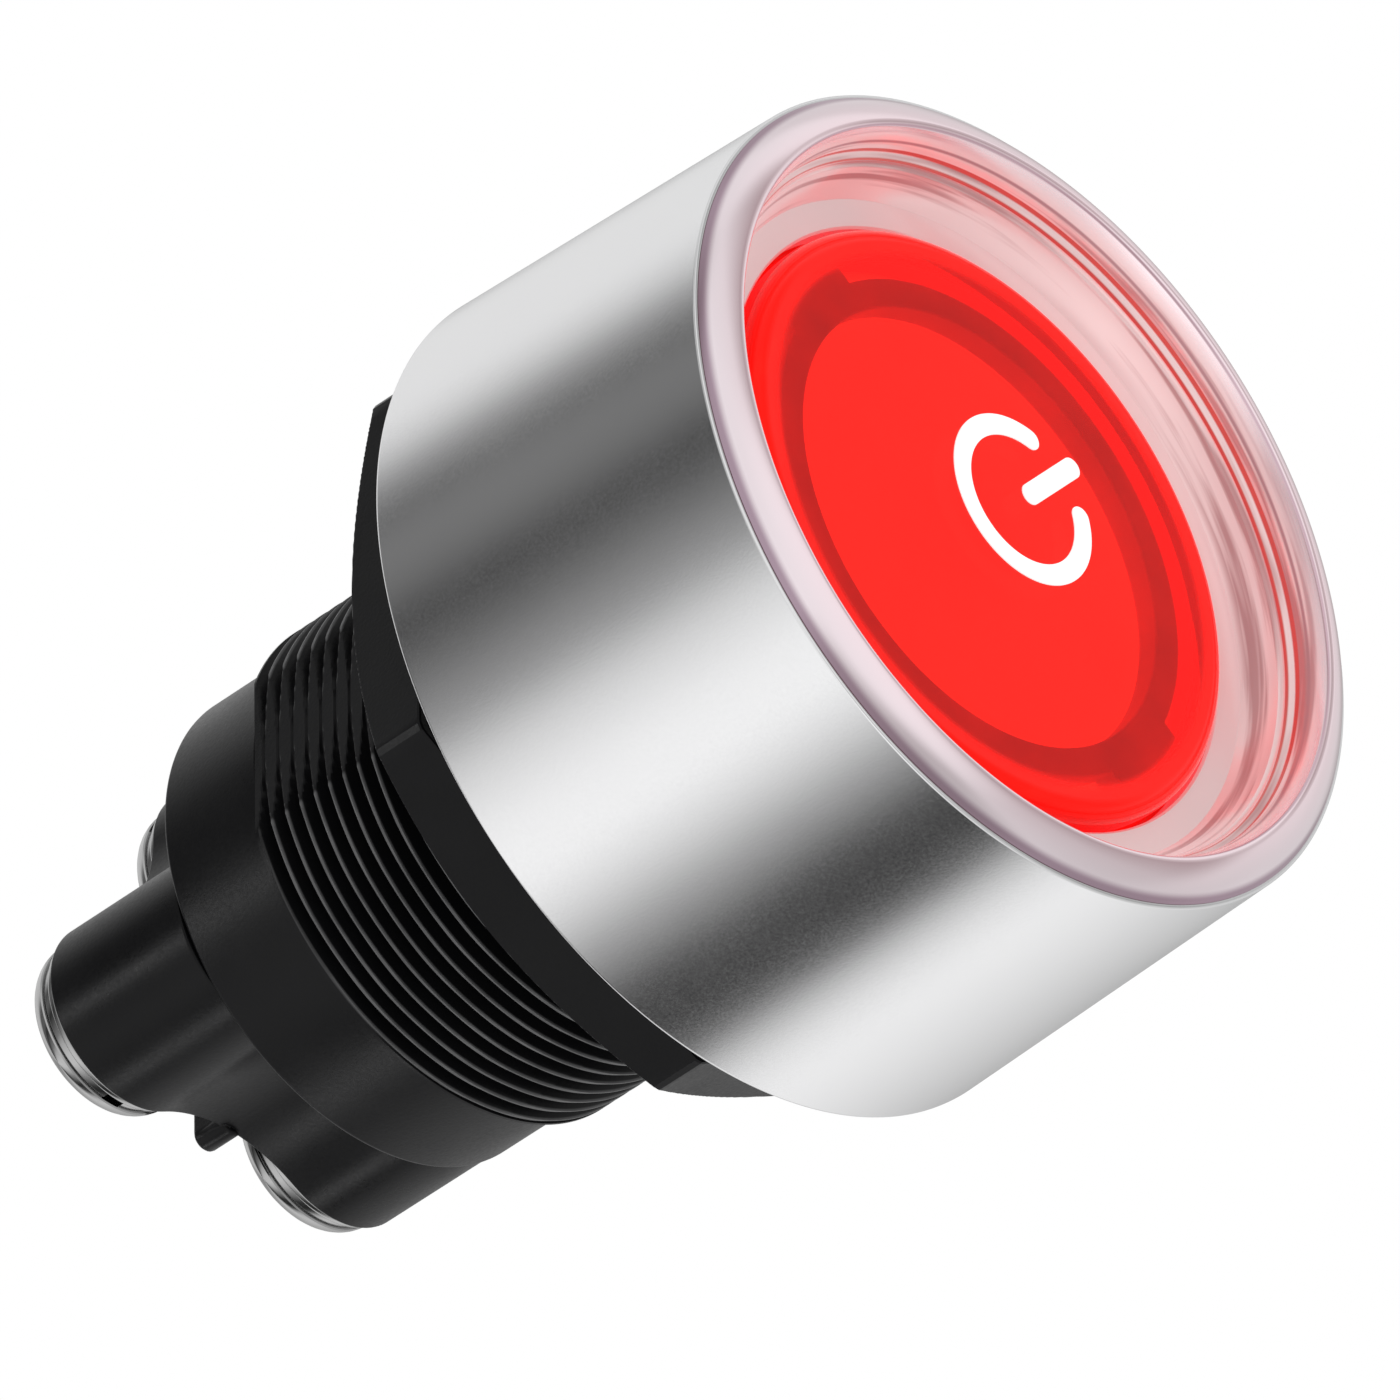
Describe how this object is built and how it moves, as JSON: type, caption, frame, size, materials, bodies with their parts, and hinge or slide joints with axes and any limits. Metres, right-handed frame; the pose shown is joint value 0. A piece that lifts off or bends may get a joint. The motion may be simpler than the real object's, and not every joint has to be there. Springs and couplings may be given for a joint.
{
  "type": "illuminated push button",
  "caption": "Round illuminated push button with a tall metal bezel, red translucent cap, threaded plastic neck with hex nut, and screw terminals on a lobed base.",
  "frame": {"origin": "centre of the bezel's rear rim, in the plane that touches the front of the panel", "axes": "+Z out of the panel towards the finger, +X in the reading direction of the legend, +Y up the legend"},
  "size_m": [0.036, 0.036, 0.0474],
  "materials": {
    "satin_metal": "fine satin, turned",
    "polished_metal": "polished plating",
    "black_plastic": "moulded, fine spark texture",
    "washer_metal": "zinc plated",
    "black_rubber": "matte",
    "red_lens": "translucent, lit from behind",
    "white_print": "printed ink",
    "ring_plastic": "moulded",
    "white_plastic": "milky",
    "grey_plastic": "moulded",
    "plated_screw": "nickel plated",
    "brass": "stamped or turned",
    "copper": "stamped",
    "silver": "dull",
    "spring_steel": "drawn wire",
    "circuit_board": "solder mask",
    "lamp_chip": "moulded",
    "component_black": "moulded",
    "wire_red": "insulation",
    "wire_black": "insulation"
  },
  "bodies": {
    "housing": {"bezel_sleeve": "satin_metal", "trim_ring": "polished_metal", "barrel": "black_plastic", "panel_gasket": "black_rubber", "terminal_base": "black_plastic", "terminal_insert_1": "brass", "terminal_insert_2": "brass", "terminal_insert_3": "brass", "flat_washer_1": "plated_screw", "flat_washer_2": "plated_screw", "flat_washer_3": "plated_screw", "spring_washer_1": "plated_screw", "spring_washer_2": "plated_screw", "spring_washer_3": "plated_screw", "terminal_screw_1": "plated_screw", "terminal_screw_2": "plated_screw", "terminal_screw_3": "plated_screw", "contact_strip_1": "brass", "contact_strip_2": "brass", "fixed_contact_tip_1": "silver", "fixed_contact_tip_2": "silver", "lamp_strip": "brass", "lamp_post": "grey_plastic", "lamp_board": "circuit_board", "lamp_chips": "lamp_chip", "lamp_resistor": "component_black", "lamp_lead_1": "wire_red", "lamp_lead_2": "wire_black", "return_spring": "spring_steel"},
    "button": {"lens_cap": "red_lens", "legend": "white_print", "lens_ring": "ring_plastic", "diffuser": "white_plastic", "plunger": "grey_plastic", "plunger_oring": "black_rubber", "bridge_clip": "spring_steel"},
    "bridge": {"contact_bridge": "copper", "bridge_tips": "silver", "overtravel_spring": "spring_steel"},
    "washer": {"key_washer": "washer_metal"},
    "nut": {"hex_nut": "black_plastic"}
  },
  "joints": [
    {"name": "button_press", "type": "slide", "parent": "housing", "child": "button", "axis": [0, 0, -1], "range_m": [0, 0.0025], "stiffness_N_per_m": 800, "springref_m": -0.00375, "deforming": ["return_spring"]},
    {"name": "bridge_press", "type": "slide", "parent": "housing", "child": "bridge", "axis": [0, 0, -1], "range_m": [0, 0.002], "deforming": ["overtravel_spring"]},
    {"name": "nut_travel", "type": "slide", "parent": "housing", "child": "washer", "axis": [0, 0, -1], "range_m": [0, 0.00881]},
    {"name": "nut_spin", "type": "hinge", "parent": "washer", "child": "nut", "pos_m": [0, 0, -0.0029], "axis": [0, 0, -1], "range_deg": [0, 3960]}
  ],
  "couplings": [
    {"joint": "bridge_press", "follows": "button_press", "ratio": 0.8},
    {"joint": "nut_travel", "follows": "nut_spin", "m_per_rad": 0.00012732}
  ]
}
